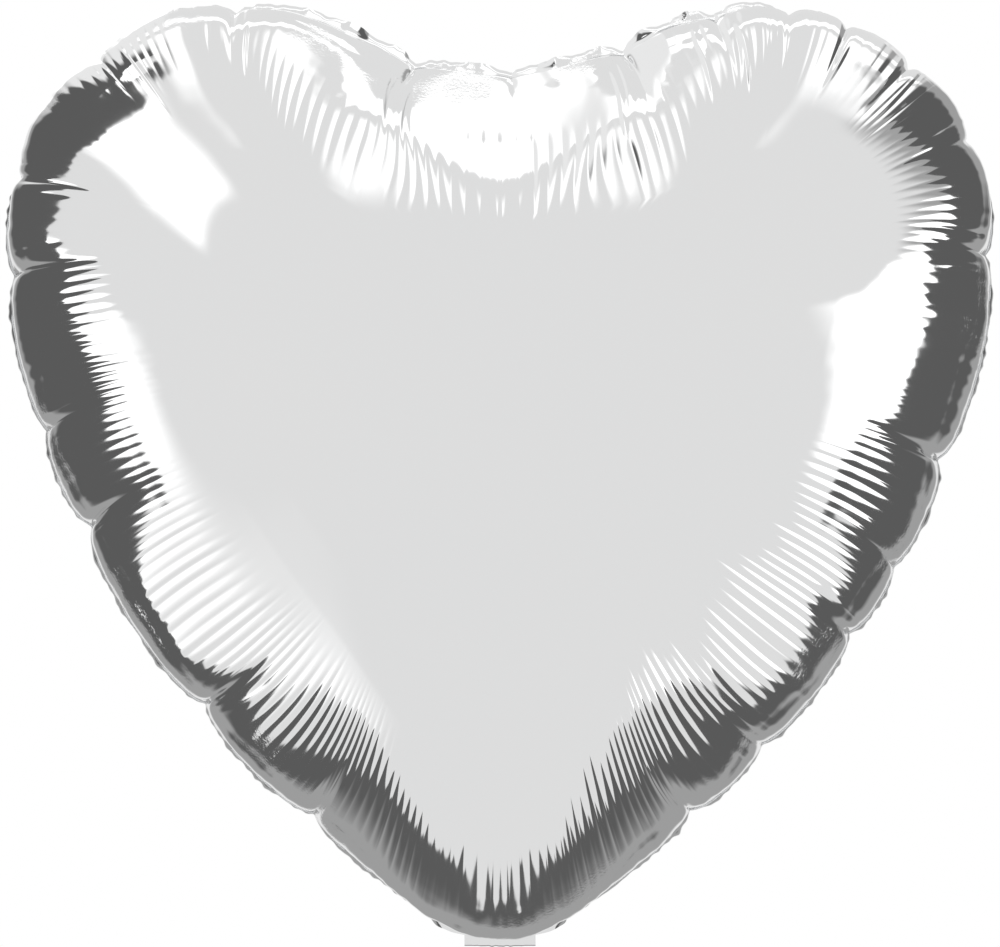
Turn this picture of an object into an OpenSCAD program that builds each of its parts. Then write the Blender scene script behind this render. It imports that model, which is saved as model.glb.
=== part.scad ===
// Heart-shaped foil balloon: two film panels welded round the edge, a flat
// self-sealing valve standing up inside from the neck, and an inflation tail.
// X is the width, the front panel faces -Y, and Z is up. The origin is the middle
// of the neck, on the line where the tail folds.

/* [Inflated heart] */
// Width across the lobes, over the welded edge
heart_w = 380; // [320:1:460]
// Height from the fold at the neck to the top of the lobes
heart_h = 359; // [290:1:435]
// Thickness front to back at the fullest point
heart_t = 184; // [120:1:224]
// Distance from the centre line to the top of each lobe
lobe_x = 98; // [80:1:120]
// Depth of the notch between the lobes
notch_drop = 25; // [15:1:35]
// Height of the lobe tops above the widest line
lobe_rise = 93; // [75:1:112]
// Height of the widest line above the fullest point
crown_drop = 66; // [50:1:80]
// Width of the blunt tip, where the flanks turn in to the neck
tip_w = 48; // [42:1:60]
// Height of the blunt tip's corners above the fold
tip_h = 8; // [6:0.5:12]

/* [Film and welds] */
// Thickness of the metallised film
film_t = 0.04; // [0.03:0.01:0.2]
// Width of the welded edge
weld_w = 5; // [3:0.5:8]
// Thickness of the fused sealant between the two panels
weld_t = 0.12; // [0.08:0.01:0.3]

/* [Neck and tail] */
// Width of the neck and the tail
neck_w = 27; // [20:0.5:36]
// Height of the flat neck below the welded edge
neck_h = 3; // [2:0.5:5]
// Length of the tail from the fold to the mouth
tail_len = 65; // [40:1:90]
// Opening between the tail's films at the mouth
mouth_gap = 7.6; // [6:0.1:10]
// Width of the tail's side welds
tail_weld_w = 3; // [2:0.5:5]
// Angle of the tail from hanging, as it is stored behind the heart
tail_fold = 90; // [60:1:110]

/* [Valve] */
// Width of the valve sleeve
valve_w = 23; // [16:0.5:26]
// Length of the valve sleeve inside the heart
valve_len = 130; // [80:1:160]
// Thickness of each valve film
valve_film_t = 0.04; // [0.03:0.01:0.08]
// Width of the sleeve's side welds
valve_weld_w = 3; // [2:0.5:5]
// Space between the two valve films
valve_gap = 0.05; // [0.04:0.01:0.1]
// Thickness of the release coat printed on the front valve film
coat_t = 0.02; // [0.01:0.01:0.03]
// Length of the release coat
coat_len = 45; // [25:1:70]
// Radius of the sleeve's free corners
valve_corner_r = 6; // [3:0.5:8]

/* [Clearance] */
// Gap at each crease that works as a hinge
crease_gap = 0.5; // [0.3:0.1:1]
// Unwelded gap for the gas between the two neck seals
neck_way = 0.02; // [0.02:0.01:0.06]

/* [Hidden] */

half_w = heart_w / 2;
half_t = heart_t / 2;
tip_x = tip_w / 2;
waist_z = heart_h - lobe_rise;
crown = [0, waist_z - crown_drop];
neck_x = neck_w / 2;
seal_top = neck_h + weld_w;
valve_foot = seal_top + crease_gap;

// How many points each stretch of the outline has, and how many rings the dome has
lobe_steps = 8;
shoulder_steps = 10;
flank_steps = 17;
tip_steps = 2;
neck_steps = 2;
rings = 9;

// The dome's section: depth = half_t * (1 - s^crown_power)^edge_power, from the
// crown (s = 0) to the weld (s = 1). The valley down from the notch is shallower.
crown_power = 1.6;
edge_power = 0.7;
valley_power = 0.35;
valley_spread = 20;

// Rows and columns of the tail's bowed films
tail_rows = 10;
tail_cols = 10;

/* ---- outline ---- */

function bezier(p, t) =
    pow(1 - t, 3) * p[0] + 3 * pow(1 - t, 2) * t * p[1] + 3 * (1 - t) * t * t * p[2] + pow(t, 3) * p[3];

function curve_points(p, steps) = [for (k = [0:steps - 1]) bezier(p, k / steps)];

lobe_curve = [
    [0, heart_h - notch_drop],
    [0.41 * lobe_x, heart_h - notch_drop],
    [0.63 * lobe_x, heart_h],
    [lobe_x, heart_h]
];
shoulder_curve = [
    [lobe_x, heart_h],
    [lobe_x + 0.54 * (half_w - lobe_x), heart_h],
    [half_w, waist_z + 0.56 * lobe_rise],
    [half_w, waist_z]
];
flank_curve = [
    [half_w, waist_z],
    [half_w, 0.8 * waist_z],
    [0.84 * half_w, 0.353 * waist_z],
    [tip_x, tip_h]
];
tip_curve = [
    [tip_x, tip_h],
    [0.4 * tip_x + 0.6 * neck_x, 0.4 * tip_h + 0.6 * neck_h],
    [0.2 * tip_x + 0.8 * neck_x, 0.1 * tip_h + 0.9 * neck_h],
    [neck_x, neck_h]
];

// Right half from the notch down to the neck, then the flat neck's corner and foot
right_edge = concat(
    curve_points(lobe_curve, lobe_steps),
    curve_points(shoulder_curve, shoulder_steps),
    curve_points(flank_curve, flank_steps),
    curve_points(tip_curve, tip_steps),
    [tip_curve[3]]
);
right_foot = [for (k = [0:neck_steps - 1]) [neck_x * (1 - k / neck_steps), crease_gap]];
edge_count = len(right_edge);
foot_count = len(right_foot);

function mirrored(points) = [for (k = [len(points) - 1:-1:0]) [-points[k][0], points[k][1]]];

outline = concat(
    right_edge,
    right_foot,
    [[0, crease_gap]],
    mirrored(right_foot),
    [for (p = mirrored(right_edge)) if (p[0] < 0) p]
);
count = len(outline);
first_left = edge_count + 2 * foot_count + 1;

// True for the points along the foot of the neck, where the flat film is taller
function on_foot(i) = i >= edge_count && i < first_left;

// The inner edge of the weld: each outline point drawn in towards the crown
function seam_point(i) =
    let (
        ray = outline[i] - crown,
        inset = on_foot(i) ? seal_top - crease_gap : weld_w
    )
    outline[i] - ray / norm(ray) * inset;
seam = [for (i = [0:count - 1]) seam_point(i)];

/* ---- panel surface ---- */

// Degrees between the ray to a seam point and straight up
function ray_angle(i) = abs(atan2(seam[i][0] - crown[0], seam[i][1] - crown[1]));

function edge_power_at(i) =
    edge_power + valley_power * exp(-pow(ray_angle(i) / valley_spread, 2));

function depth(i, s) = half_t * pow(max(0, 1 - pow(s, crown_power)), edge_power_at(i));

// A point on the film's outer face: s runs from the crown (0) to the weld (1).
// Front faces -Y when side = -1, rear faces +Y when side = 1.
function dome_point(i, s, side) =
    let (flat = crown + (seam[i % count] - crown) * s)
    [flat[0], side * (weld_t / 2 + film_t + depth(i % count, s)), flat[1]];

function unit(v) = v / norm(v);

function dome_normal(i, s, side) =
    let (
        step = 0.01,
        along = dome_point(i, s + step, side) - dome_point(i, s - step, side),
        across = dome_point(i + 1, s, side) - dome_point(i + count - 1, s, side),
        n = unit(cross(along, across))
    )
    n[1] * side > 0 ? n : -n;

// Rings are spaced closer together towards the weld, where the film turns steeply
function ring_s(j) = sin(90 * j / rings);

function outer_ring(j, side) = [for (i = [0:count - 1]) dome_point(i, ring_s(j), side)];

function inner_ring(j, side) =
    [for (i = [0:count - 1])
        dome_point(i, ring_s(j), side)
            - film_t * (j == rings ? [0, side, 0] : dome_normal(i, ring_s(j), side))];

function flat_ring(y) = [for (p = outline) [p[0], y, p[1]]];

function joined(lists) = [for (list = lists) each list];

// Two triangles between neighbouring rings, with the same diagonal on both faces
function band(a, b, i, n) =
    let (k = (i + 1) % n)
    [[a + i, b + i, b + k], [a + i, b + k, a + k]];

function flipped(faces) = [for (f = faces) [f[2], f[1], f[0]]];

// One face of the panel: a fan at the crown, then bands out to the edge
function face_of(base, bands) =
    joined([
        [for (i = [0:count - 1]) [base, base + 1 + i, base + 1 + (i + 1) % count]],
        [for (j = [0:bands - 1], i = [0:count - 1])
            each band(base + 1 + j * count, base + 1 + (j + 1) * count, i, count)]
    ]);

module panel(side) {
    outer_y = side * (weld_t / 2 + film_t);
    inner_y = side * weld_t / 2;
    outer = joined([
        [[crown[0], outer_y + side * half_t, crown[1]]],
        joined([for (j = [1:rings]) outer_ring(j, side)]),
        flat_ring(outer_y)
    ]);
    inner = joined([
        [[crown[0], inner_y + side * half_t, crown[1]]],
        joined([for (j = [1:rings]) inner_ring(j, side)]),
        flat_ring(inner_y)
    ]);
    inside = len(outer);
    rim = 1 + rings * count;
    rim_faces = joined([for (i = [0:count - 1]) band(rim, inside + rim, i, count)]);
    shell = concat(face_of(0, rings), flipped(face_of(inside, rings)), rim_faces);
    polyhedron(points = concat(outer, inner), faces = side > 0 ? shell : flipped(shell));
}

// A flat piece in the XZ plane, from y_low to y_high
module flat_piece(points, y_low, y_high) {
    translate([0, y_high, 0])
        rotate([90, 0, 0])
            linear_extrude(y_high - y_low)
                polygon(points);
}

/* ---- balloon ---- */

module front_panel() {
    color([0.87, 0.87, 0.88]) panel(-1);
}

module rear_panel() {
    color([0.82, 0.83, 0.84]) panel(1);
}

// Sealant fused between the panels all round, except across the neck
module edge_weld() {
    around = [for (i = [0:count - 1]) (i + first_left) % count];
    welded = [for (i = around) if (!on_foot(i)) i];
    color([0.7, 0.72, 0.74])
        flat_piece(
            concat(
                [for (i = welded) outline[i]],
                [for (k = [len(welded) - 1:-1:0]) seam[welded[k]]]
            ),
            -weld_t / 2, weld_t / 2
        );
}

// The foot of each valve film, bonded to its panel, with the gas way between them
module neck_seal() {
    foot = [for (i = [edge_count:first_left - 1]) i];
    patch = concat(
        [for (i = foot) outline[i]],
        [for (k = [len(foot) - 1:-1:0]) seam[foot[k]]]
    );
    color([0.75, 0.8, 0.85]) {
        flat_piece(patch, -weld_t / 2, -neck_way / 2);
        flat_piece(patch, neck_way / 2, weld_t / 2);
    }
}

/* ---- valve ---- */

// Outline of one valve film, with its two free corners rounded
module sleeve_shape() {
    translate([-valve_w / 2, 0])
        square([valve_w, valve_len - valve_corner_r]);
    translate([valve_corner_r - valve_w / 2, 0])
        square([valve_w - 2 * valve_corner_r, valve_len]);
    for (side = [-1, 1])
        translate([side * (valve_w / 2 - valve_corner_r), valve_len - valve_corner_r])
            circle(r = valve_corner_r, $fn = 48);
}

module sleeve_layer(y_low, y_high) {
    translate([0, y_high, valve_foot])
        rotate([90, 0, 0])
            linear_extrude(y_high - y_low)
                children();
}

module valve_front_film() {
    color([0.86, 0.9, 0.94, 0.6])
        sleeve_layer(-valve_gap / 2 - valve_film_t, -valve_gap / 2) sleeve_shape();
}

module valve_rear_film() {
    color([0.86, 0.9, 0.94, 0.6])
        sleeve_layer(valve_gap / 2, valve_gap / 2 + valve_film_t) sleeve_shape();
}

module valve_side_welds() {
    color([0.8, 0.85, 0.9])
        sleeve_layer(-valve_gap / 2, valve_gap / 2)
            for (side = [-1, 1])
                translate([side * (valve_w / 2 - valve_weld_w / 2) - valve_weld_w / 2, 0])
                    square([valve_weld_w, valve_len - valve_corner_r]);
}

// Heat-proof print that keeps the neck weld from closing the sleeve
module valve_release_coat() {
    coat_w = valve_w - 2 * valve_weld_w;
    color([0.35, 0.55, 0.75])
        sleeve_layer(-valve_gap / 2, -valve_gap / 2 + coat_t)
            translate([-coat_w / 2, 0])
                square([coat_w, coat_len]);
}

/* ---- tail ---- */

channel_x = neck_x - tail_weld_w;

// How far a tail film bows out from the weld plane: full at the mouth, flat at the fold
function bow(x, d) =
    let (
        across = max(0, 1 - pow(x / channel_x, 2)),
        along = sin(90 * min(1, d / (0.45 * tail_len)))
    )
    (mouth_gap - weld_t) / 2 * across * along;

function tail_x(c) = -channel_x + 2 * channel_x * c / tail_cols;
function tail_d(r) = crease_gap + (tail_len - crease_gap) * r / tail_rows;

// Columns across the film: its outer edges, then the bowed channel between the welds
tail_xs = concat([-neck_x], [for (c = [0:tail_cols]) tail_x(c)], [neck_x]);
columns = len(tail_xs);

function tail_grid(side, base) =
    [for (r = [0:tail_rows], x = tail_xs)
        [x, side * (base + (abs(x) < channel_x ? bow(x, tail_d(r)) : 0)), -tail_d(r)]];

function grid_faces(base) =
    [for (r = [0:tail_rows - 1], c = [0:columns - 2])
        let (a = base + r * columns + c)
        each [[a, a + 1, a + columns + 1], [a, a + columns + 1, a + columns]]];

// The grid's border, in order round it
border = concat(
    [for (c = [0:columns - 1]) c],
    [for (r = [1:tail_rows]) r * columns + columns - 1],
    [for (c = [columns - 2:-1:0]) tail_rows * columns + c],
    [for (r = [tail_rows - 1:-1:1]) r * columns]
);

module tail_film(side) {
    outer = tail_grid(side, weld_t / 2 + film_t);
    inner = tail_grid(side, weld_t / 2);
    inside = len(outer);
    n = len(border);
    edge = joined([for (i = [0:n - 1])
        let (a = border[i], b = border[(i + 1) % n])
        [[a, inside + a, inside + b], [a, inside + b, b]]]);
    film = concat(grid_faces(0), flipped(grid_faces(inside)), edge);
    polyhedron(points = concat(outer, inner), faces = side > 0 ? flipped(film) : film);
}

module folded() {
    rotate([tail_fold, 0, 0]) children();
}

module tail_front_film() {
    color([0.87, 0.87, 0.88]) folded() tail_film(-1);
}

module tail_rear_film() {
    color([0.82, 0.83, 0.84]) folded() tail_film(1);
}

module tail_side_welds() {
    color([0.7, 0.72, 0.74])
        folded()
            for (side = [-1, 1])
                translate([side * (neck_x - tail_weld_w / 2), 0, -(tail_len + crease_gap) / 2])
                    cube([tail_weld_w, weld_t, tail_len - crease_gap], center = true);
}

front_panel();
rear_panel();
edge_weld();
neck_seal();
valve_front_film();
valve_rear_film();
valve_side_welds();
valve_release_coat();
tail_front_film();
tail_rear_film();
tail_side_welds();
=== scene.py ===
import math

import bpy
import numpy as np
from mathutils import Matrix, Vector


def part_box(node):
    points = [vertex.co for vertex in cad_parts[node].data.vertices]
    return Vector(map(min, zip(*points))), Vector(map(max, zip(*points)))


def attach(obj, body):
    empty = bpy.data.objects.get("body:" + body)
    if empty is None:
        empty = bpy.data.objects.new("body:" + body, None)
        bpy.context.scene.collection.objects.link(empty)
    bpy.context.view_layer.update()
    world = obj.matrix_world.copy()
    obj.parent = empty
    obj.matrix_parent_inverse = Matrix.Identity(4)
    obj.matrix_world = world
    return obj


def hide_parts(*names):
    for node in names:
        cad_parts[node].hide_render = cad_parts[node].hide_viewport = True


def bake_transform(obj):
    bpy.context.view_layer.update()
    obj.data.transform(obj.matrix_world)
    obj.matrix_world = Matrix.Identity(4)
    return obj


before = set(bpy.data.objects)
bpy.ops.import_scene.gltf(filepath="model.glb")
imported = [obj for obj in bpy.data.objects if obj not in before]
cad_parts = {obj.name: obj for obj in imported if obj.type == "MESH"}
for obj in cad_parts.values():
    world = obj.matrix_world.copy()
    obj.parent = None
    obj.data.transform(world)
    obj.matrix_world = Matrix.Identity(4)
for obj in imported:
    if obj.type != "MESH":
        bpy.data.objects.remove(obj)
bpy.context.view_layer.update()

MM = 0.001

# ---- sizes, in metres ----

_, panel_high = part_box("front_panel")
tail_low, tail_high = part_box("tail_front_film")
HALF_W = panel_high.x
TOP = panel_high.z
LOBE_X = 98 * MM            # from the centre line to the top of a lobe
NOTCH_DROP = 25 * MM        # the notch below the lobe tops
LOBE_RISE = 93 * MM         # the lobe tops above the widest line
CROWN_DROP = 66 * MM        # the fullest point below the widest line
WAIST = TOP - LOBE_RISE
CROWN = np.array([0.0, WAIST - CROWN_DROP])
TIP_X = 24 * MM             # half the width of the blunt tip
TIP_Z = 8 * MM              # its corners above the fold at the neck
TIP_FOOT = 3 * MM           # and its lowest line
WELD_W = 5 * MM
FILM_GAP = 0.07 * MM        # from the middle of the weld to the skin of each film
NECK_X = tail_high.x
TAIL_END = tail_high.y
MOUTH_GAP = -2 * tail_low.z

# How much larger the flat pattern is than the filled heart
FULLNESS = 1.18
EDGE_STEPS = 240            # points along each curve of half the outline

# ---- the heart's outline ----

LOBE = [(0, TOP - NOTCH_DROP), (0.41 * LOBE_X, TOP - NOTCH_DROP), (0.63 * LOBE_X, TOP), (LOBE_X, TOP)]
SHOULDER = [
    (LOBE_X, TOP),
    (LOBE_X + 0.54 * (HALF_W - LOBE_X), TOP),
    (HALF_W, WAIST + 0.56 * LOBE_RISE),
    (HALF_W, WAIST),
]
FLANK = [(HALF_W, WAIST), (HALF_W, 0.8 * WAIST), (0.84 * HALF_W, 0.353 * WAIST), (TIP_X, TIP_Z)]
TIP = [(TIP_X, TIP_Z), (0.7 * TIP_X, 0.5 * TIP_Z), (0.35 * TIP_X, TIP_FOOT), (0, TIP_FOOT)]


def bezier(points, t):
    """Points on the cubic curve of four control points."""
    p = np.array(points, float)
    t = t[:, None]
    return (1 - t) ** 3 * p[0] + 3 * (1 - t) ** 2 * t * p[1] + 3 * (1 - t) * t * t * p[2] + t ** 3 * p[3]


def even_steps(loop, count):
    """count points at even spacing round a closed loop of points."""
    closed = np.vstack([loop, loop[:1]])
    reach = np.r_[0, np.cumsum(np.hypot(*np.diff(closed, axis=0).T))]
    at = np.linspace(0, reach[-1], count, endpoint=False)
    return np.stack([np.interp(at, reach, closed[:, k]) for k in (0, 1)], 1)


def out_of(loop):
    """Unit vectors pointing out of a closed loop that runs clockwise."""
    along = np.roll(loop, -1, 0) - np.roll(loop, 1, 0)
    along /= np.linalg.norm(along, axis=1)[:, None]
    return np.stack([-along[:, 1], along[:, 0]], 1)


def heart_edge(count):
    """The welded edge's outer line, clockwise from the notch."""
    t = np.linspace(0, 1, EDGE_STEPS, endpoint=False)
    half = np.vstack([bezier(curve, t) for curve in (LOBE, SHOULDER, FLANK, TIP)])
    foot = np.array([[0, TIP_FOOT]])
    return even_steps(np.vstack([half, foot, half[:0:-1] * [-1, 1]]), count)


def heart_seam(count):
    """The inner line of the weld, where the film starts to swell."""
    edge = heart_edge(4 * count)
    return even_steps(edge - out_of(edge) * WELD_W, count)


# ---- the filled shape: a flat film that can't stretch, pushed out by gas ----

KEPT_SPEED = 0.95           # the share of its speed that the film keeps at each step
PULL_ROUNDS = 4             # how often the links are pulled in at each step
COARSE_ROWS = 16            # rows of points on the first, coarse film, from the crown to the seam
COARSE_COLS = 80            # and points in each row
FIRST_DEPTH = 90 * MM       # how deep the first guess at its shape is


def link_groups(rows, cols):
    """Pairs of neighbouring film points, in groups where no point comes twice, and each group's share."""
    index = np.arange(rows * cols).reshape(rows, cols)
    groups = []
    for odd in (0, 1):
        last = odd + (rows - odd) // 2 * 2
        inner, outer = slice(odd, last, 2), slice(odd + 1, last + 1, 2)
        groups.append((index[inner], index[outer], 0.5))
        groups.append((index[:, odd::2], np.roll(index, -1, 1)[:, odd::2], 0.5))
        for turn in (-1, 1):
            groups.append((index[inner], np.roll(index, turn, 1)[outer], 0.25))
    return [(a.ravel(), b.ravel(), share) for a, b, share in groups]


def film_normals(film):
    """Unit vectors square to a film that is given as rings of points."""
    across = np.roll(film, -1, 1) - np.roll(film, 1, 1)
    along = np.gradient(film, axis=0)
    n = np.cross(along, across)
    return n / (np.linalg.norm(n, axis=-1, keepdims=True) + 1e-12)


def inflate(film, push, steps):
    """Pushes the film out until its links are taut. Rows run from the crown to the seam."""
    rows, cols, _ = film.shape
    seam = heart_seam(cols)
    share = np.linspace(0, 1, rows + 1)[1:, None, None]
    flat = (CROWN + FULLNESS * (seam - CROWN) * share).reshape(-1, 2)
    groups = []
    for a, b, weight in link_groups(rows, cols):
        groups.append((a, b, weight, np.linalg.norm(flat[b] - flat[a], axis=1)))
    rim = film[-1].copy()
    speed = np.zeros_like(film)
    facing = -np.sign(film_normals(film)[rows // 2, :, 1].mean())
    for _ in range(steps):
        before = film.copy()
        film = film + KEPT_SPEED * speed + push * facing * film_normals(film)
        points = film.reshape(-1, 3)
        for _ in range(PULL_ROUNDS):
            for a, b, weight, rest in groups:
                gap = points[b] - points[a]
                length = np.sqrt((gap * gap).sum(1))
                pull = gap * (weight * np.maximum(1 - rest / np.maximum(length, 1e-9), 0))[:, None]
                points[a] += pull
                points[b] -= pull
            film[-1] = rim
        speed = film - before
    return film


def finer(film):
    """The same film with twice the rows and columns."""
    rows, cols, _ = film.shape
    wide = np.empty((rows, 2 * cols, 3))
    wide[:, 0::2] = film
    wide[:, 1::2] = (film + np.roll(film, -1, 1)) / 2
    middle = np.broadcast_to(film[0].mean(0), (1, 2 * cols, 3))
    full = np.empty((2 * rows, 2 * cols, 3))
    full[1::2] = wide
    full[0::2] = (np.vstack([middle, wide[:-1]]) + wide) / 2
    seam = heart_seam(2 * cols)
    full[-1] = np.stack([seam[:, 0], 0 * seam[:, 0], seam[:, 1]], 1)
    return full


def filled_heart():
    """The smooth filled front film, as rows from near the crown out to the seam."""
    seam = heart_seam(COARSE_COLS)
    share = np.linspace(0, 1, COARSE_ROWS + 1)[1:, None]
    film = np.zeros((COARSE_ROWS, COARSE_COLS, 3))
    film[..., 0] = CROWN[0] + (seam[:, 0] - CROWN[0]) * share
    film[..., 2] = CROWN[1] + (seam[:, 1] - CROWN[1]) * share
    film[..., 1] = -FIRST_DEPTH * (1 - share ** 3)
    film = inflate(film, 0.02 * MM, 500)
    film = inflate(film, 0.004 * MM, 300)
    film = inflate(finer(film), 0.002 * MM, 500)
    return film


# ---- sampling the smooth film ----

FITTED = 0.7                # how far out from the crown the fitted face is matched to the film
CROWN_BLEND = (0.45, 0.75)  # and between which shares of the way out it goes over into the film


def cubic_weights(f):
    """The weights of the four rows round a place that is f of the way from the second to the third."""
    return [
        -0.5 * f + f * f - 0.5 * f ** 3,
        1 - 2.5 * f * f + 1.5 * f ** 3,
        0.5 * f + 2 * f * f - 1.5 * f ** 3,
        -0.5 * f * f + 0.5 * f ** 3,
    ]


def sampled(rows, place, share):
    """The film at a share of the way round and a share of the way out from the crown, smoothly."""
    middle = np.broadcast_to(rows[0].mean(0), rows[:1].shape)
    known = np.vstack([2 * middle - rows[:1], middle, rows, 2 * rows[-1:] - rows[-2:-1]])
    cols = rows.shape[1]
    out = np.clip(share * len(rows), 0, len(rows) - 1e-6)
    i = np.floor(out).astype(int)
    turn = place * cols
    j = np.floor(turn).astype(int)
    total = 0
    for k, row_weight in enumerate(cubic_weights((out - i)[..., None])):
        for m, weight in enumerate(cubic_weights((turn - j)[..., None])):
            total = total + row_weight * weight * known[i + k, (j + m - 1) % cols]
    return total


def smooth_crown(film):
    """A polynomial face fitted to the film, to smooth out the grid's pole at the crown."""
    def terms(x, z):
        x = x / HALF_W
        z = (z - CROWN[1]) / HALF_W
        return np.stack([x ** (2 * a) * z ** b for a in range(4) for b in range(7 - 2 * a)], -1)

    inner = film[: int(FITTED * len(film))].reshape(-1, 3)
    fit = np.linalg.lstsq(terms(inner[:, 0], inner[:, 2]), inner[:, 1], rcond=None)[0]
    return lambda x, z: terms(x, z) @ fit


def step_up(x, low, high):
    """0 below low, 1 above high, and smooth between."""
    t = np.clip((x - low) / (high - low), 0, 1)
    return t * t * (3 - 2 * t)


# ---- where the film tucks and ridges, in degrees clockwise from straight up about the crown ----

# A tuck, and how strong it is
TUCKS = [
    (-14, 0.9), (1, 0.35), (18, 1.0), (28, 0.7), (35, 0.8), (42, 0.9), (50, 1.1), (59, 0.7), (71, 0.8),
    (95, 1.2), (110, 0.6), (122, 1.0), (141, 0.7), (154, 1.0), (-155, 1.0), (-134, 1.0), (-105, 1.3),
    (-91, 0.7), (-73, 0.7), (-63, 0.6), (-48, 1.0), (-33, 0.9),
]
# The fine ridges: how strong they are, and how far in from the seam they start and end, in millimetres
RIDGED = [
    (-180, 0.9, 16, 78), (-160, 1.0, 16, 76), (-130, 0.85, 16, 74), (-112, 0.8, 18, 70), (-95, 0.85, 20, 66),
    (-76, 1.0, 24, 72), (-73, 0.05, 24, 72), (-57, 0.05, 12, 60), (-52, 0.8, 12, 42), (-43, 0.7, 14, 42),
    (-39, 0.15, 14, 42), (-30, 0.15, 14, 60), (-26, 0.7, 34, 74), (-14, 1.0, 38, 82), (-7, 1.2, 38, 86),
    (0, 2.2, 36, 92), (7, 1.2, 38, 86), (14, 0.8, 38, 82), (21, 0.6, 34, 74), (27, 0.1, 14, 60),
    (32, 0.7, 8, 50), (50, 0.6, 12, 62), (62, 0.4, 14, 66), (74, 0.2, 14, 66), (80, 0.13, 20, 60),
    (92, 0.3, 20, 62), (102, 0.9, 20, 74), (130, 0.95, 18, 82), (160, 1.0, 14, 84), (180, 0.9, 16, 78),
]
RIDGES = 272
RIDGE_COLS = 7
COLS = RIDGES * RIDGE_COLS
RIDGE_HEIGHT = 0.27 * MM
RIDGE_SIZES = (0.55, 1.3)   # how much single ridges differ from that
START_SPREAD = 2.5          # and how far their starts and ends scatter, in millimetres
END_SPREAD = 5
CROWDING = 0.3              # how much closer together the ridges stand beside a tuck
CROWDED = 9 * MM            # and how near to it
BULGE = 1.7 * MM            # how far the film puffs out between two tucks
BULGE_AT = 8 * MM           # how far in from the seam it is fullest
FLANK_ROUND = 3.4 * MM      # and how far the long flanks round out, more gently
FLANK_AT = 18 * MM
FLANK_START = (75, 105)     # the degrees from straight up between which this grows
FLANK_END = (145, 172)      # and fades
CALM_NOTCH = (14, 24)       # the degrees between which the calmer film at the notch ends
LOST_BULGE = 0.7            # the share of the bulge that is missing at the notch
LOST_SLACK = 0.85           # and of the slack and the groove
SEAM_OUT = 2.2 * MM         # how far the swollen film carries the seam out past the CAD's
SEAM_FREE = (12 * MM, 30 * MM)      # the distances from the tip between which the seam comes free of the neck
PINCHES = [(2.6, 4), (1.2, 12)]     # how far a tuck draws the seam in and over what length, in millimetres
SEAM_WAVES = [(0.8, 60, 5), (0.35, 21, 6)]  # the seam's waves: size and wavelength in millimetres, and seed
SHIFT_FADE = 14 * MM        # how far in from the seam its moves are felt
FLANGE_LEAN = 1.28          # radians that the welded edge curls back
TOP_LEAN = 0.55             # and how much less it does so along the top
TOP_ENDS = (24, 50)         # the degrees from straight up between which that top ends
TUCK_DEPTH = 1.6 * MM
TUCK_REACH = (34, 62)       # how far in a tuck's crease runs, in millimetres
# The sharp lines beside a tuck, in millimetres
LINE_OFF = 9
LINE_WIDTH = (0.7, 1.1)
LINE_START = (4, 16)
LINE_LENGTH = (24, 52)
LINE_HEIGHT = (0.25, 0.6)
GROOVE = 0.22 * MM          # the shallow groove that runs along inside the seam
GROOVE_AT = 12 * MM
SEAM_STEPS = 6000           # points that the seam is measured with


def ripple(u, length, wave, seed):
    """A smooth random curve round the loop, of about unit size and the given wavelength."""
    rng = np.random.default_rng(seed)
    middle = length / wave
    turns = rng.integers(max(1, int(0.5 * middle)), int(1.6 * middle) + 2, 18)
    sizes = rng.normal(0, 1, 18)
    phases = rng.uniform(0, 2 * math.pi, 18)
    angle = 2 * math.pi * u / length
    total = sum(a * np.cos(n * angle + p) for n, a, p in zip(turns, sizes, phases))
    return total / 3


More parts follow.
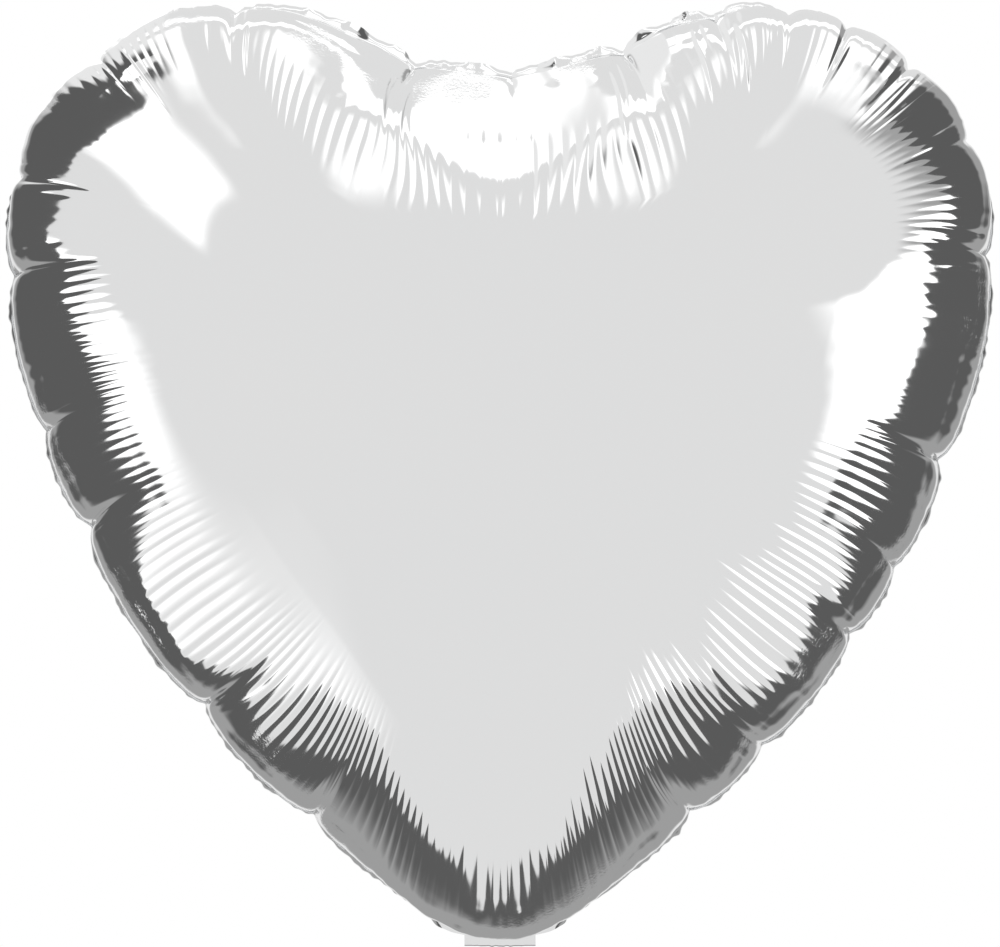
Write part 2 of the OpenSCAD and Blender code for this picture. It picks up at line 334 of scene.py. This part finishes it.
class Seam:
    """The line where the panels meet: its columns, one set to each ridge, and its tucks and waves."""

    def __init__(self):
        fine = heart_seam(SEAM_STEPS)
        steps = np.hypot(*(np.roll(fine, -1, 0) - fine).T)
        self.length = steps.sum()
        u = np.r_[0, np.cumsum(steps[:-1])]
        ray = fine - CROWN
        degrees = np.degrees(np.arctan2(ray[:, 0], ray[:, 1]))
        order = np.argsort(degrees)
        tucks = [(float(np.interp(a, degrees[order], u[order])), size) for a, size in TUCKS]

        # the ridges crowd together beside a tuck
        crowd = 1 + 0.10 * ripple(u, self.length, 80 * MM, 3)
        for at, size in tucks:
            crowd = crowd + CROWDING * size * np.exp(-(self.between(u, at) / CROWDED) ** 2)
        reach = np.r_[0, np.cumsum(crowd)]
        reach *= RIDGES / reach[-1]
        index = np.arange(COLS)
        place = np.interp(index / RIDGE_COLS, reach, np.arange(len(reach)))
        self.spacing = 1 / np.interp(place, np.arange(len(u)), crowd)
        self.u = np.interp(place, np.arange(len(u) + 1), np.r_[u, self.length])
        closed = np.vstack([fine, fine[:1]])
        self.flat = np.stack([np.interp(place, np.arange(len(closed)), closed[:, k]) for k in (0, 1)], 1)
        self.tucks = []
        for at, size in tucks:
            valley = round(float(np.interp(at, self.u, index / RIDGE_COLS)))
            self.tucks.append((self.u[valley * RIDGE_COLS % COLS], size))
        self.tucks.sort()
        self.out = out_of(self.flat)
        ray = self.flat - CROWN
        self.reach = np.hypot(*ray.T)
        self.degrees = np.degrees(np.arctan2(ray[:, 0], ray[:, 1]))
        self.fine_degrees = degrees[order]
        self.fine_place_round = np.unwrap(order / len(fine), period=1)
        self.fine_reach = np.hypot(*(fine - CROWN).T)[order]
        listed = np.array(RIDGED)
        self.ridged, self.starts, self.ends = (
            np.interp(self.degrees, listed[:, 0], listed[:, k]) for k in (1, 2, 3)
        )
        tip = float(np.interp(180, degrees[order], u[order]))
        self.loose = step_up(np.abs(self.away(tip)), *SEAM_FREE)
        self.puff, self.span = self.puffs()
        self.shift = self.shifted()

    def paths(self, v):
        """Where the points v in from the seam lie, on lines that leave it squarely and turn to the crown.

        Each is given as its share of the way round and its share of the way out."""
        start = FULLNESS * (self.flat - CROWN)
        toward = -start / np.hypot(*start.T)[:, None]
        bend = 0.3 + 0.7 * step_up(np.abs(self.degrees), 120, 158)
        turned = bend * step_up(v / v[-1:], -0.25, 1.15)
        at_tip = step_up(np.abs(self.degrees), 140, 170)
        turned = (turned + (1 - turned) * at_tip)[..., None]
        at = start + v[..., None] * ((1 - turned) * -self.out + turned * toward)
        degrees = np.degrees(np.arctan2(at[..., 0], at[..., 1]))
        place = np.interp(degrees, self.fine_degrees, self.fine_place_round)
        reach = np.interp(degrees, self.fine_degrees, self.fine_reach)
        return place, np.hypot(at[..., 0], at[..., 1]) / (FULLNESS * reach)

    def between(self, u, at):
        """Signed distance along the seam from at to u, the shorter way round."""
        return (u - at + self.length / 2) % self.length - self.length / 2

    def away(self, at):
        """The same, from at to each column."""
        return self.between(self.u, at)

    def puffs(self):
        """How full the film is between two tucks, from 0 to 1, and how far apart the two tucks are."""
        stops = np.array([at for at, _ in self.tucks])
        after = np.searchsorted(stops, self.u, side="right")
        low = np.where(after == 0, stops[-1] - self.length, stops[after - 1])
        high = np.where(after == len(stops), stops[0] + self.length, stops[after % len(stops)])
        return np.abs(np.sin(math.pi * (self.u - low) / (high - low))) ** 0.6, high - low

    def shifted(self):
        """How far the tucks and waves move each point of the seam."""
        pull = 0 * self.u
        for at, size in self.tucks:
            away = np.sqrt(self.away(at) ** 2 + (0.7 * MM) ** 2)
            for depth, width in PINCHES:
                pull += size * depth * MM * np.exp(-away / (width * MM))
        swell = SEAM_OUT + 0.9 * MM * (self.puff - 0.6) * np.minimum(self.span / (50 * MM), 1.4)
        wave = 0 * self.u
        for size, long, seed in SEAM_WAVES:
            wave += size * MM * ripple(self.u, self.length, long * MM, seed)
        shift = np.zeros((COLS, 3))
        shift[:, [0, 2]] = self.out * ((swell - pull) * self.loose)[:, None]
        shift[:, 1] = wave * self.loose
        return shift


def relief(seam, v, seed):
    """How far the film stands out from its smooth shape, v in from the seam."""
    rng = np.random.default_rng(seed)
    u = seam.u[None]
    length = seam.length

    # puffs between the tucks, fullest just inside the seam, and the rounder flanks
    full = BULGE * (0.25 + 0.75 * seam.puff) * np.minimum(np.sqrt(seam.span / (50 * MM)), 1.25)
    at_notch = 1 - step_up(np.abs(seam.degrees), *CALM_NOTCH)
    full = full * (0.4 + 0.6 * seam.loose) * (1 - LOST_BULGE * at_notch)
    total = full[None] * (v / BULGE_AT) * np.exp(1 - v / BULGE_AT)
    flank = step_up(np.abs(seam.degrees), *FLANK_START) * (1 - step_up(np.abs(seam.degrees), *FLANK_END))
    total += FLANK_ROUND * flank[None] * (v / FLANK_AT) * np.exp(1 - v / FLANK_AT)

    # fine ridges, each one a rounded fold between two sharp valleys
    each = np.arange(COLS) // RIDGE_COLS
    fold = np.abs(np.sin(math.pi * np.arange(COLS) / RIDGE_COLS))
    starts = seam.starts + 2 * ripple(seam.u, length, 110 * MM, seed + 2)
    starts = MM * (starts + rng.uniform(-START_SPREAD, START_SPREAD, RIDGES)[each])
    ends = seam.ends + 3 * ripple(seam.u, length, 90 * MM, seed + 3)
    ends = MM * (ends + rng.uniform(-END_SPREAD, END_SPREAD, RIDGES)[each])
    sizes = rng.uniform(*RIDGE_SIZES, RIDGES)[each]
    fade = step_up(v, starts - 8 * MM, starts + 8 * MM) * (1 - step_up(v, ends - 30 * MM, ends + 4 * MM))
    total += (RIDGE_HEIGHT * seam.ridged * seam.spacing * sizes * (fold - 0.6))[None] * fade

    # a long crease at each tuck, rounded off over the length soft, with a few sharp lines beside it
    soft = 0.5 * MM + 0.02 * v
    for at, size in seam.tucks:
        reach_in = rng.uniform(*TUCK_REACH) * MM * min(size, 1.1)
        across = seam.away(at)[None] + rng.uniform(-0.05, 0.05) * v
        away = np.sqrt(across ** 2 + soft ** 2) - soft
        lap = rng.choice([-1, 1]) * rng.uniform(0.2, 0.5)
        depth = size * TUCK_DEPTH * (1 - step_up(v, -6 * MM, reach_in)) ** 1.3 * step_up(v, 0, 3 * MM)
        total -= depth * np.exp(-away / (1.0 * MM + 0.03 * v))
        total += depth * lap * np.tanh(across / soft) * np.exp(-away / (2.4 * MM))
        for _ in range(rng.integers(3, 6)):
            line = seam.away(at)[None] + rng.uniform(-LINE_OFF, LINE_OFF) * MM + rng.uniform(-0.07, 0.07) * v
            width = rng.uniform(*LINE_WIDTH) * MM
            first = rng.uniform(*LINE_START) * MM
            last = first + rng.uniform(*LINE_LENGTH) * MM
            tall = rng.uniform(*LINE_HEIGHT) * MM * rng.choice([-1, 1], p=[0.5, 0.5])
            run = step_up(v, first - 4 * MM, first + 8 * MM) * (1 - step_up(v, last - 24 * MM, last))
            total += size * tall * run * np.exp(-((line / width) ** 2))

    # slack film near the seam, but hardly any at the notch
    slack = 0.06 * MM * ripple(u, length, 8 * MM, seed + 4) + 0.2 * MM * ripple(u, length, 24 * MM, seed + 5)
    slack = slack * step_up(v, 0, 4 * MM) * (1 - step_up(v, 8 * MM, 22 * MM))
    groove_at = GROOVE_AT + 2 * MM * ripple(u, length, 70 * MM, seed + 6)
    groove = GROOVE * np.exp(-((v - groove_at) / (2.2 * MM)) ** 2) * (0.5 + seam.puff[None])
    return total + (1 - LOST_SLACK * at_notch) * (slack - groove)


def flange(seam, w, offset):
    """Points on the welded edge, w out from the seam. It curls back and crinkles, being too long."""
    near = 0 * seam.u
    for at, _ in seam.tucks:
        near = np.maximum(near, np.exp(-np.abs(seam.away(at)) / (6 * MM)))
    top = 1 - step_up(np.abs(seam.degrees), *TOP_ENDS)
    lean = FLANGE_LEAN - TOP_LEAN * top + 0.2 * near
    lean = lean + (0.14 + 0.1 * top) * ripple(seam.u, seam.length, 26 * MM, 40)
    lean = lean + (0.07 - 0.03 * top) * ripple(seam.u, seam.length, 7 * MM, 41)
    lean = (np.clip(lean, 0.4, 1.5) * seam.loose)[None] * (0.55 + 0.45 * w / WELD_W)
    cos, sin = np.cos(lean), np.sin(lean)
    line = seam.flat + seam.shift[:, [0, 2]]
    points = np.zeros((len(w), COLS, 3))
    points[..., [0, 2]] = line + seam.out * (w * cos - offset * sin)[..., None]
    points[..., 1] = seam.shift[:, 1] + w * sin + offset * cos
    return points


# ---- meshes ----

def made_mesh(name, points, faces, stands_for, body="balloon"):
    """A piece of film or sealant that takes a CAD node's place. Without a body, it is left to be blended."""
    mesh = bpy.data.meshes.new(name)
    mesh.from_pydata(np.asarray(points).tolist(), [], faces)
    mesh.polygons.foreach_set("use_smooth", np.ones(len(mesh.polygons), bool))
    piece = bpy.data.objects.new(name, mesh)
    bpy.context.scene.collection.objects.link(piece)
    if body:
        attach(piece, body)
    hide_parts(*stands_for)
    return piece


def ring_faces(rows, cols):
    """Quads between rings of cols points, each ring closed on itself."""
    index = np.arange(rows * cols).reshape(rows, cols)
    turned = np.roll(index, -1, 1)
    return np.stack([index[:-1], index[1:], turned[1:], turned[:-1]], -1).reshape(-1, 4).tolist()


def grid_faces(rows, cols):
    """Quads over a grid of points."""
    index = np.arange(rows * cols).reshape(rows, cols)
    corners = [index[:-1, :-1], index[1:, :-1], index[1:, 1:], index[:-1, 1:]]
    return np.stack(corners, -1).reshape(-1, 4).tolist()


def inward_faces(outer, inner):
    """Faces between a ring and the next one in, which has as many points or half as many."""
    n = len(inner)
    faces = []
    for k in range(n):
        a, b = inner[k], inner[(k + 1) % n]
        if len(outer) == n:
            faces.append((outer[k], a, b, outer[(k + 1) % n]))
        else:
            p, q, r = outer[2 * k], outer[2 * k + 1], outer[(2 * k + 2) % len(outer)]
            faces += [(p, a, q), (q, a, b), (q, b, r)]
    return faces


def note_inset(piece, inset):
    """Stores how far in from the seam each point is, in shares of BAND, for the foil's finish."""
    piece.data.attributes.new("inset", "FLOAT", "POINT").data.foreach_set("value", inset)


FINE_ROWS = 44              # rows of points over the ridged band
FLANGE_ROWS = 4             # over the welded edge
INNER_RINGS = 12            # and from the band in to the crown
THINNED = 8                 # the innermost rings keep one column in this many
BAND = 84 * MM              # how far in from the seam the fine rows reach, at most

smooth = filled_heart()
crown_y = smooth_crown(smooth)
seam = Seam()


def base_film(place, share):
    """Points on the smooth film, which goes over into the fitted face near the crown."""
    points = sampled(smooth, place, share)
    fair = crown_y(points[..., 0], points[..., 2])
    mix = step_up(share, *CROWN_BLEND)
    points[..., 1] = points[..., 1] * mix + fair * (1 - mix)
    return points


def film_face(name, side, seed, stands_for):
    """One panel: its welded edge, its ridged film and its smooth middle. side is -1 in front and 1 behind."""
    slope = FULLNESS * seam.reach
    band = np.minimum(BAND, 0.5 * slope)
    t = np.linspace(0, 1, FINE_ROWS)[:, None]
    v = band[None] * (0.35 * t + 0.65 * t ** 1.4)
    place, share = seam.paths(v)
    base = base_film(place, share)
    normal = film_normals(base)
    normal *= -np.sign(normal[FINE_ROWS // 2, :, 1].mean())
    film = base + normal * relief(seam, v, seed)[..., None]
    film += (seam.shift * [1, -side, 1])[None] * np.exp(-v / SHIFT_FADE)[..., None]
    film[..., 1] *= -side
    film[..., 1] += side * FILM_GAP
    w = np.linspace(WELD_W, 0, FLANGE_ROWS + 1)[:-1, None]
    points = [np.concatenate([flange(seam, w, side * FILM_GAP), film]).reshape(-1, 3)]
    rows = FLANGE_ROWS + FINE_ROWS
    faces = ring_faces(rows, COLS)
    outer = range((rows - 1) * COLS, rows * COLS)
    total = rows * COLS
    for k in range(1, INNER_RINGS):
        step = min(2 ** k, THINNED)
        ring = base_film(place[-1, ::step], share[-1, ::step] * (1 - k / INNER_RINGS))
        ring[:, 1] = side * (FILM_GAP - ring[:, 1])
        points.append(ring)
        inner = range(total, total + len(ring))
        faces += inward_faces(outer, inner)
        outer = inner
        total += len(ring)
    points.append([[CROWN[0], side * (FILM_GAP - float(crown_y(0.0, CROWN[1]))), CROWN[1]]])
    faces += [(outer[k], total, outer[(k + 1) % len(outer)]) for k in range(len(outer))]
    if side > 0:
        faces = [face[::-1] for face in faces]
    piece = made_mesh(name, np.vstack(points), faces, stands_for)
    inset = np.full(total + 1, 1.0, np.float32)
    inset[: rows * COLS] = np.concatenate([-w + 0 * seam.u[None], v]).ravel() / BAND
    note_inset(piece, inset)
    return piece


front = film_face("front_film", -1, 11, ["front_panel"])
rear = film_face("rear_film", 1, 71, ["rear_panel"])

# the fused sealant between the two films' edges, as a thin closed ring
w = np.linspace(WELD_W, 0, FLANGE_ROWS + 1)[:, None]
SEALANT = FILM_GAP - 0.01 * MM      # half its thickness, just short of the films
profile = np.concatenate([flange(seam, w, -SEALANT), flange(seam, w[::-1], SEALANT)])
faces = ring_faces(len(profile) + 1, COLS)
wrapped = len(profile) * COLS
faces = [[i % wrapped for i in face] for face in faces]
edge_strip = made_mesh("edge_sealant", profile.reshape(-1, 3), faces, ["edge_weld"])


# ---- the tail, folded back from the neck ----

FOLD_R = 0.8 * MM           # the radius of the fold
TAIL_TOP = 5 * MM           # how far the tail's skins lap up over the neck
TAIL_WELD = 3 * MM
PLEATS = (3.7 * MM, 2.3 * MM)       # the wavelengths of the pleats beside the fold
PLEAT_REACH = 14 * MM       # and how far down the tail they fade
TAIL_INSET = 0.2            # the inset that the tail's film is finished as
TAIL_ROWS = 130
TAIL_COLS = 72


def tail_place(x, d, offset):
    """A point d down the tail from the top of the neck, x across it and offset out through its front skin."""
    bend = 0.5 * math.pi * FOLD_R
    down = TAIL_TOP - FOLD_R
    turn = np.clip((d - down) / FOLD_R, 0, 0.5 * math.pi)
    back = np.maximum(d - down - bend, 0)
    y = FOLD_R * (1 - np.cos(turn)) + back - offset * np.cos(turn)
    z = np.maximum(TAIL_TOP - d, FOLD_R) - FOLD_R * np.sin(turn) - offset * np.sin(turn)
    return np.stack([x + 0 * y, y, z], -1)


TAIL_RUN = TAIL_TOP - FOLD_R + 0.5 * math.pi * FOLD_R + TAIL_END - FOLD_R


def tail_gap(x, d, side):
    """How far each skin stands off the tail's middle: flat at the neck, and bowed open at the mouth."""
    inner = NECK_X - TAIL_WELD
    along = np.clip((d - TAIL_TOP) / (TAIL_RUN - TAIL_TOP), 0, 1)
    bow = (1 - np.clip(np.abs(x) / inner, 0, 1) ** 2) ** 1.1
    opened = 0.5 * MOUTH_GAP * along ** 0.8 * (0.92 + 0.08 * np.cos(9 * along + side))
    pleats = np.cos(2 * math.pi * x / PLEATS[0] + side) + 0.6 * np.cos(2 * math.pi * x / PLEATS[1] + 2)
    near_fold = np.exp(-((d - TAIL_TOP) / PLEAT_REACH) ** 2)
    cross = 0.22 * MM * np.sin(along * 31 + 2 * side + 260 * x) * np.sin(math.pi * along)
    lift = bow * (opened + (0.16 * MM * pleats + 0.2 * MM) * near_fold + cross * 0.6)
    return FILM_GAP + 0.06 * MM + np.maximum(lift, 0)


def tail_skin(name, side, stands_for):
    """One film of the tail. side is -1 for the front one and 1 for the rear one."""
    x = np.linspace(-NECK_X, NECK_X, TAIL_COLS)[None]
    d = np.linspace(0, TAIL_RUN, TAIL_ROWS)[:, None]
    points = tail_place(x, d, -side * tail_gap(x, d, side))
    faces = grid_faces(TAIL_ROWS, TAIL_COLS)
    if side < 0:
        faces = [face[::-1] for face in faces]
    piece = made_mesh(name, points.reshape(-1, 3), faces, stands_for, None)
    note_inset(piece, np.full(TAIL_ROWS * TAIL_COLS, TAIL_INSET, np.float32))
    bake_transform(piece)
    return piece


tail_front = tail_skin("tail_front_skin", -1, ["tail_front_film"])
tail_rear = tail_skin("tail_rear_skin", 1, ["tail_rear_film"])


# ---- the seams down the tail's sides ----

STRIP_HALF = 0.1 * MM       # half the thickness of a side seam


def tail_side_strips():
    """The two side seams, as closed strips in one piece."""
    x = np.linspace(NECK_X - TAIL_WELD, NECK_X, 4)[None]
    d = np.linspace(0, TAIL_RUN, TAIL_ROWS)[:, None]
    points, faces = [], []
    for way in (-1, 1):
        sheets = [tail_place(way * x, d, offset + 0 * x * d) for offset in (STRIP_HALF, -STRIP_HALF)]
        loop = np.concatenate([sheets[0], sheets[1][:, ::-1]], 1)
        count = loop.shape[1]
        index = len(points) * TAIL_ROWS * count + np.arange(TAIL_ROWS * count).reshape(TAIL_ROWS, count)
        turned = np.roll(index, -1, 1)
        band = np.stack([index[:-1], index[1:], turned[1:], turned[:-1]], -1).reshape(-1, 4).tolist()
        band += [index[0].tolist(), index[-1, ::-1].tolist()]
        faces += [face[::way] for face in band]
        points.append(loop.reshape(-1, 3))
    piece = made_mesh("tail_side_seams", np.vstack(points), faces, ["tail_side_welds"], None)
    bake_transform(piece)
    return piece


tail_seams = tail_side_strips()


# ---- shader maths ----

class Wire:
    """A socket of a node, whose arithmetic adds Math nodes."""

    def __init__(self, nodes, socket):
        self.nodes = nodes
        self.socket = socket

    def math(self, operation, *values):
        """The result of a Math node with these values."""
        return self.nodes.add("ShaderNodeMath", {"operation": operation}, dict(enumerate(values)))

    def __add__(self, other):
        return self.math("ADD", self, other)

    def __sub__(self, other):
        return self.math("SUBTRACT", self, other)

    def __rsub__(self, other):
        return self.math("SUBTRACT", other, self)

    def __mul__(self, other):
        return self.math("MULTIPLY", self, other)

    def ramp(self, low, high):
        """0 below low, 1 above high, and smooth between."""
        limits = {"Value": self, "From Min": low, "From Max": high}
        return self.nodes.add("ShaderNodeMapRange", {"interpolation_type": "SMOOTHSTEP"}, limits)

    __radd__ = __add__
    __rmul__ = __mul__


class Nodes:
    """A node tree that is being filled."""

    def __init__(self, tree):
        self.tree = tree
        tree.nodes.clear()

    def add(self, kind, settings=None, sockets=None, output=0):
        """Adds a node: its settings first, then the values or links of its sockets."""
        made = self.tree.nodes.new(kind)
        for name, value in (settings or {}).items():
            if name == "stops":
                while len(made.color_ramp.elements) < len(value):
                    made.color_ramp.elements.new(0.5)
                for stop, (place, level) in zip(made.color_ramp.elements, value):
                    stop.position = place
                    stop.color = (level, level, level, 1)
            else:
                setattr(made, name, value)
        for name, value in (sockets or {}).items():
            if isinstance(value, Wire):
                self.tree.links.new(value.socket, made.inputs[name])
            else:
                made.inputs[name].default_value = value
        return Wire(self, made.outputs[output]) if len(made.outputs) else made

    def noise(self, scale, detail=2.0):
        """Noise in the object's own coordinates."""
        place = self.add("ShaderNodeTexCoord", output="Object")
        return self.add("ShaderNodeTexNoise", None, {"Vector": place, "Scale": scale, "Detail": detail})

    def bump(self, strength, distance, height):
        """Normals tilted by a height."""
        sockets = {"Strength": strength, "Distance": distance, "Height": height}
        return self.add("ShaderNodeBump", None, sockets)

    def mix_colour(self, share, first, second):
        """From the first colour to the second."""
        sockets = {"Factor": share, 6: first, 7: second}
        return self.add("ShaderNodeMix", {"data_type": "RGBA"}, sockets, 2)


def material(name, fill):
    """A material whose shader is made by fill."""
    made = bpy.data.materials.new(name)
    made.use_nodes = True
    nodes = Nodes(made.node_tree)
    nodes.add("ShaderNodeOutputMaterial", None, {"Surface": fill(nodes)})
    return made


def surface(nodes, **sockets):
    """A Principled shader, its sockets named in small letters."""
    named = {name.replace("_", " ").title(): value for name, value in sockets.items()}
    return nodes.add("ShaderNodeBsdfPrincipled", None, named)


# ---- finishes ----

def foil(nodes):
    """Vacuum-metallised film: a bright mirror, hazier and finely crazed near the seam."""
    inset = nodes.add("ShaderNodeAttribute", {"attribute_name": "inset"}, None, "Fac")
    near_seam = 1 - inset.ramp(0.10, 0.34)
    cloud = nodes.noise(24.0, 3.0)
    fleck = nodes.noise(900.0, 2.0)
    crazed = near_seam * cloud.ramp(0.48, 0.60)
    haze = 0.035 + cloud * 0.02 + crazed * 0.03
    bump = nodes.bump(0.6, 0.2 * MM, fleck * crazed)
    colour = nodes.mix_colour(nodes.noise(9.0), (0.925, 0.93, 0.935, 1), (0.94, 0.94, 0.938, 1))
    return surface(nodes, base_color=colour, metallic=1.0, roughness=haze, normal=bump)


def sealant(nodes):
    """The fused plastic between the films, pale and a little cloudy."""
    cloud = nodes.noise(300.0, 3.0)
    colour = nodes.mix_colour(cloud, (0.62, 0.63, 0.64, 1), (0.78, 0.79, 0.80, 1))
    bump = nodes.bump(0.2, 0.05 * MM, cloud)
    return surface(nodes, base_color=colour, roughness=0.3 + cloud * 0.2, normal=bump)


def valve_plastic(nodes):
    """Thin milky polyethylene."""
    cloud = nodes.noise(180.0, 3.0)
    colour = nodes.mix_colour(cloud, (0.74, 0.77, 0.78, 1), (0.86, 0.88, 0.88, 1))
    bump = nodes.bump(0.15, 0.05 * MM, nodes.noise(900.0))
    return surface(nodes, base_color=colour, roughness=0.22 + cloud * 0.12, normal=bump)


def printed_coat(nodes):
    """The heat-proof coat printed on the valve, matt and slightly blue."""
    grain = nodes.noise(1400.0, 2.0)
    colour = nodes.mix_colour(grain, (0.50, 0.58, 0.66, 1), (0.62, 0.69, 0.75, 1))
    bump = nodes.bump(0.3, 0.03 * MM, grain)
    return surface(nodes, base_color=colour, roughness=0.62 + grain * 0.15, normal=bump)


def painted_floor(nodes):
    """Matt pale grey."""
    cloud = nodes.noise(3.0, 3.0)
    colour = nodes.mix_colour(cloud, (0.86, 0.86, 0.86, 1), (0.90, 0.90, 0.90, 1))
    return surface(nodes, base_color=colour, roughness=0.85 + cloud * 0.1)


def finish(piece, finish_material):
    """Gives a piece one material."""
    piece.data.materials.clear()
    piece.data.materials.append(finish_material)


front_foil = material("front_bright_foil", foil)
rear_foil = material("rear_bright_foil", foil)
sealant_finish = material("fused_sealant", sealant)
finish(front, front_foil)
finish(tail_front, front_foil)
finish(rear, rear_foil)
finish(tail_rear, rear_foil)
finish(edge_strip, sealant_finish)
finish(tail_seams, sealant_finish)

# the CAD nodes that are carried over, inside the heart
polyethylene = material("valve_polyethylene", valve_plastic)
for name, carried_finish in (
    ("neck_seal", sealant_finish),
    ("valve_front_film", polyethylene),
    ("valve_rear_film", polyethylene),
    ("valve_side_welds", polyethylene),
    ("valve_release_coat", material("valve_printed_coat", printed_coat)),
):
    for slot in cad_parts[name].material_slots:
        slot.material = carried_finish


# ---- studio ----

# Directions in the room are given as two angles in degrees: the heading, clockwise from straight up as seen
# from the front, and how far off the front the direction is.

# The dark gap round the light panels: a heading, and how far off the front the gap starts and ends there
GAP = [
    (-180, 78, 87), (-165, 84, 93), (-150, 88, 99), (-135, 87, 101), (-122, 84, 103), (-112, 86, 112),
    (-100, 90, 122), (-92, 87, 126), (-85, 80, 126), (-75, 73, 126), (-60, 67, 122), (-40, 63, 78),
    (-25, 65, 76), (-15, 67, 78), (15, 66, 84), (45, 66, 100), (60, 69, 112), (75, 75, 122),
    (87, 82, 124), (98, 89, 118), (105, 90, 110), (115, 85, 104), (125, 83, 102), (138, 87, 102),
    (150, 90, 99), (165, 83, 92), (180, 78, 87),
]
# Bright panels: the headings where one starts and ends, the soft widths there, how far off the front it
# starts and is full, and how much brighter than the walls it is
PANELS = [
    (-134, -91, 24, 2, 66, 82, 0.6),
    (-66, -24, 8, 12, 51.5, 54.5, 0.7),
    (12, 34, 5, 10, 66, 72, 0.6),
]
PALE = 0.775                # how bright the walls are
DARK = 0.107                # and the gap


def by_heading(nodes, heading, column):
    """An angle from the list of the gap's edges."""
    stops = [(row[0] / 360 + 0.5, row[column] / 180) for row in GAP]
    sockets = {0: heading * (1 / 360) + 0.5}
    return nodes.add("ShaderNodeValToRGB", {"stops": stops}, sockets) * 180


def window(angle, low, high, soft_low, soft_high):
    """1 between two angles, with soft edges."""
    return angle.ramp(low, low + soft_low) * (1 - angle.ramp(high - soft_high, high))


def studio_light():
    """Soft studio light fixed in the room: pale walls, bright panels at the sides and above, dark gaps."""
    world = bpy.data.worlds.new("studio")
    bpy.context.scene.world = world
    world.use_nodes = True
    nodes = Nodes(world.node_tree)
    toward = nodes.add("ShaderNodeTexCoord")
    x, y, z = (nodes.add("ShaderNodeSeparateXYZ", None, {0: toward}, k) for k in range(3))
    off = y.math("ARCCOSINE", y * -1) * (180 / math.pi)
    heading = x.math("ARCTAN2", x, z) * (180 / math.pi)
    gap_start = by_heading(nodes, heading, 1)
    gap_end = by_heading(nodes, heading, 2)

    # in front of the gap: the walls, the panels, a panel at the right that slants, and a shade above it
    front_side = PALE
    for low, high, soft_low, soft_high, start, full, level in PANELS:
        panel = window(heading, low, high, soft_low, soft_high) * off.ramp(start, full)
        front_side = front_side + panel * level
    slanted = (off - (heading - 90) * 0.3).ramp(57, 66)
    front_side = front_side + window(heading, 84, 122, 2, 4) * slanted * 0.7
    front_side = front_side - window(heading, 30, 85, 16, 2) * (off - gap_start).ramp(-10, -3) * 0.4

    # beyond it: dimmer walls, brighter at the top
    dark = (off - gap_start).ramp(-0.5, 0.5)
    top_glow = window(heading, -62, 44, 18, 18) * 0.5
    beyond = DARK + (off - gap_end).ramp(-5, 9) * (0.25 + top_glow) + off.ramp(136, 150) * 0.48
    walls = front_side * (1 - dark) + beyond * dark

    # a ceiling with two side panels and a bright strip across it
    ceiling = window(heading, -24, 44, 6, 8) * off.ramp(60, 66)
    ceiling_panels = window(heading, 10, 44, 5, 6) + window(heading, -44, -10, 6, 5)
    ceiling_panels = ceiling_panels * (1 - off.ramp(86, 92))
    above = off - heading.math("ABSOLUTE", heading) * 0.14
    strip = above.ramp(94, 95) * (1 - above.ramp(104, 105))
    above_level = PALE + off.math("MAXIMUM", ceiling_panels, strip) * 0.45
    light = walls * (1 - ceiling) + above_level * ceiling

    # the camera itself sees plain white
    seen = nodes.add("ShaderNodeBackground", None, {"Color": (1, 1, 1, 1), "Strength": 1.0})
    lit = nodes.add("ShaderNodeBackground", None, {"Color": (1, 1, 1, 1), "Strength": light})
    camera_ray = nodes.add("ShaderNodeLightPath")
    mixed = nodes.add("ShaderNodeMixShader", None, {0: camera_ray, 1: lit, 2: seen})
    nodes.add("ShaderNodeOutputWorld", None, {"Surface": mixed})


studio_light()

FLOOR_Z = -0.35
FLOOR_R = 2.0
FLOOR_SIDES = 96
LAMP_Z = 2.4
floor_mesh = bpy.data.meshes.new("floor")
turns = np.linspace(0, 2 * math.pi, FLOOR_SIDES, endpoint=False)
rim = [(FLOOR_R * math.cos(a), FLOOR_R * math.sin(a), FLOOR_Z) for a in turns]
floor_mesh.from_pydata(rim, [], [range(FLOOR_SIDES)])
floor = bpy.data.objects.new("floor", floor_mesh)
bpy.context.scene.collection.objects.link(floor)
floor_mesh.materials.append(material("pale_floor", painted_floor))
floor.visible_glossy = False

overhead_lamp = bpy.data.lights.new("overhead", "AREA")
overhead_lamp.shape = "DISK"
overhead_lamp.size = 3.0
overhead_lamp.energy = 45
overhead = bpy.data.objects.new("overhead", overhead_lamp)
overhead.location = (0, 0, LAMP_Z)
overhead.visible_glossy = False
bpy.context.scene.collection.objects.link(overhead)

lens = bpy.data.cameras.new("camera")
lens.lens = 150
lens.sensor_width = 36
camera = bpy.data.objects.new("camera", lens)
bpy.context.scene.collection.objects.link(camera)
VIEW_W = 2 * HALF_W
camera.location = (0, -VIEW_W * lens.lens / lens.sensor_width, 0.5 * TOP)
camera.rotation_euler = (math.pi / 2, 0, 0)
bpy.context.scene.camera = camera
bpy.context.scene.view_settings.view_transform = "Standard"
